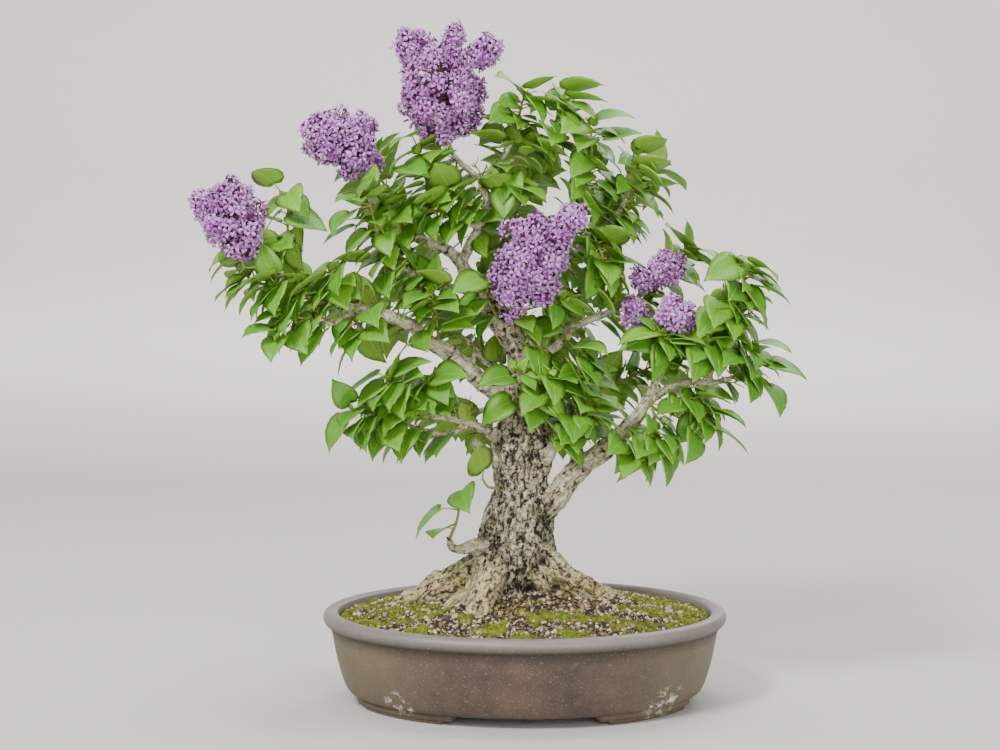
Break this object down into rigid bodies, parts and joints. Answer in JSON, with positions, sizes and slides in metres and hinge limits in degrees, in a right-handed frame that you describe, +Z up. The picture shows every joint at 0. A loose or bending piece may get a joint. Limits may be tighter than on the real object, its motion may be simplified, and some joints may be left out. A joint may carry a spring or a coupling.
{
  "type": "lilac bonsai",
  "caption": "Flowering lilac bonsai: gnarled trunk with surface roots and spreading limbs, heart-shaped leaves and lilac flower panicles, in a shallow oval clay pot with cloud feet.",
  "frame": {"origin": "on the surface that the feet stand on, under the middle of the whole part's box", "axes": "+Z up; +X to the right as seen from the front; +Y from the front, where the longest root points at the viewer, to the back"},
  "size_m": [0.6016, 0.304, 0.6799],
  "materials": {
    "pot": "unglazed brown-grey stoneware, satin, with pale mineral crust on the feet",
    "soil": "damp dark grit with moss tufts and pale grit on top",
    "bark": "rough pale tan bark with dark fissures",
    "leaf": "satin green leaf, paler below, on yellow-green shoots",
    "bloom": "soft lilac petals with paler edges and darker buds",
    "net": "moulded black plastic net"
  },
  "bodies": {
    "root": {"pot": "pot", "drainage_screen_left": "net", "drainage_screen_right": "net", "soil": "soil", "trunk": "bark", "panicle_top": "bloom", "panicle_upper_left": "bloom", "panicle_far_left": "bloom", "panicle_centre": "bloom", "panicle_right_upper": "bloom", "panicle_right_lower": "bloom", "panicle_right_spent": "bloom", "spray_far_left": "leaf", "spray_far_left_low": "leaf", "spray_left_low": "leaf", "spray_left_mid": "leaf", "spray_left_hang": "leaf", "spray_left_inner": "leaf", "spray_upper_left": "leaf", "spray_upper_mid": "leaf", "spray_under_top": "leaf", "spray_crown_left": "leaf", "spray_heart": "leaf", "spray_low_left": "leaf", "spray_low_left_inner": "leaf", "spray_low_left_out": "leaf", "spray_front": "leaf", "spray_front_right": "leaf", "spray_right_inner": "leaf", "spray_right_heart": "leaf", "spray_trunk_side": "leaf", "spray_basal": "leaf", "spray_leader": "leaf", "spray_under_centre": "leaf", "spray_right_upper": "leaf", "spray_crown_mid": "leaf", "spray_right_top": "leaf", "spray_right_mid": "leaf", "spray_right_out": "leaf", "spray_right_crown": "leaf", "spray_right_hang": "leaf", "spray_limb_hang": "leaf", "spray_limb_low": "leaf", "spray_limb_front": "leaf", "spray_right_bloom": "leaf", "spray_right_back": "leaf", "spray_crown_right": "leaf", "spray_upper_right": "leaf", "spray_far_right": "leaf", "spray_crown_far_right": "leaf", "spray_back_right": "leaf", "spray_back_left": "leaf", "spray_back_top": "leaf", "spray_back_low_right": "leaf", "spray_back_low_left": "leaf", "spray_back_far_left": "leaf", "spray_back_far_right": "leaf", "spray_back_up_left": "leaf"}
  },
  "joints": []
}
